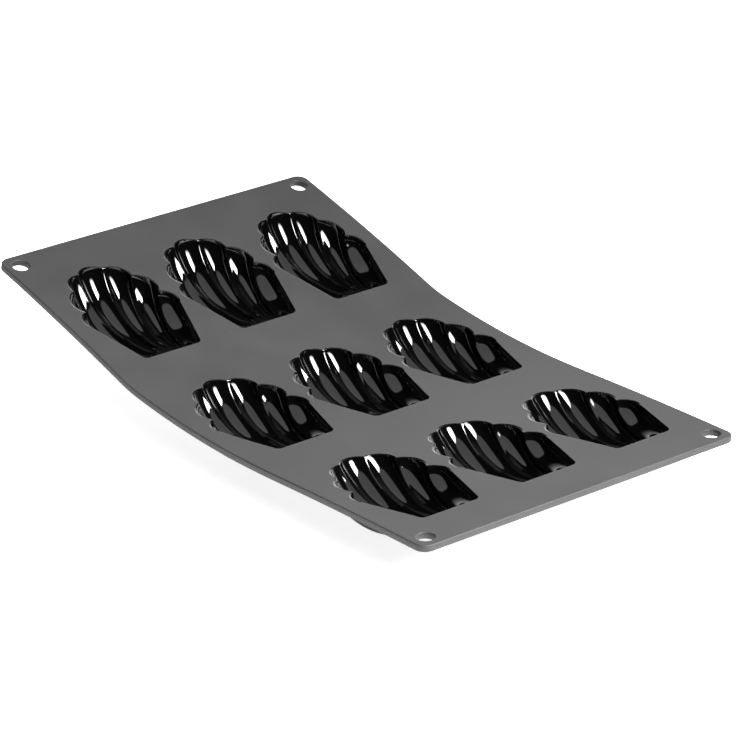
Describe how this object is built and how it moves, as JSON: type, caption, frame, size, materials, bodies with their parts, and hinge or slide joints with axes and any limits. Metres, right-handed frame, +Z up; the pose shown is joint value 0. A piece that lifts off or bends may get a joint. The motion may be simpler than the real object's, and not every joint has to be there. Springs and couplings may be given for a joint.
{
  "type": "silicone madeleine pan",
  "caption": "Flexible silicone baking mould with scallop shell cavities hanging below a thin sheet that bends between its rows, and a hanging hole at each corner.",
  "frame": {"origin": "on the surface that the mould stands on, under the middle of its width and of its length", "axes": "+X across the sheet, +Y along it from the flat front edge to the raised back edge, +Z up"},
  "size_m": [0.175, 0.2962, 0.0527],
  "materials": {
    "sheet_rubber": "matte moulded silicone",
    "cavity_rubber": "polished moulded silicone"
  },
  "bodies": {
    "row_front": {"edge_front": "sheet_rubber", "sheet_front": "sheet_rubber", "flex_web_front": "sheet_rubber", "cup_front_left": "cavity_rubber", "cup_front_centre": "cavity_rubber", "cup_front_right": "cavity_rubber"},
    "row_middle": {"sheet_middle": "sheet_rubber", "flex_web_back": "sheet_rubber", "cup_middle_left": "cavity_rubber", "cup_middle_centre": "cavity_rubber", "cup_middle_right": "cavity_rubber"},
    "row_back": {"edge_back": "sheet_rubber", "sheet_back": "sheet_rubber", "cup_back_left": "cavity_rubber", "cup_back_centre": "cavity_rubber", "cup_back_right": "cavity_rubber"}
  },
  "joints": [
    {"name": "front_flex", "type": "hinge", "parent": "row_front", "child": "row_middle", "pos_m": [0, -0.04544, 0.01586], "axis": [1, 0, 0], "range_deg": [-60, 90], "stiffness_Nm_per_rad": 0.1, "springref_deg": 14.04, "deforming": ["flex_web_front"]},
    {"name": "back_flex", "type": "hinge", "parent": "row_middle", "child": "row_back", "pos_m": [0, 0.049, 0.02296], "axis": [1, 0, 0], "range_deg": [-60, 90], "stiffness_Nm_per_rad": 0.1, "springref_deg": 14.04, "deforming": ["flex_web_back"]}
  ]
}
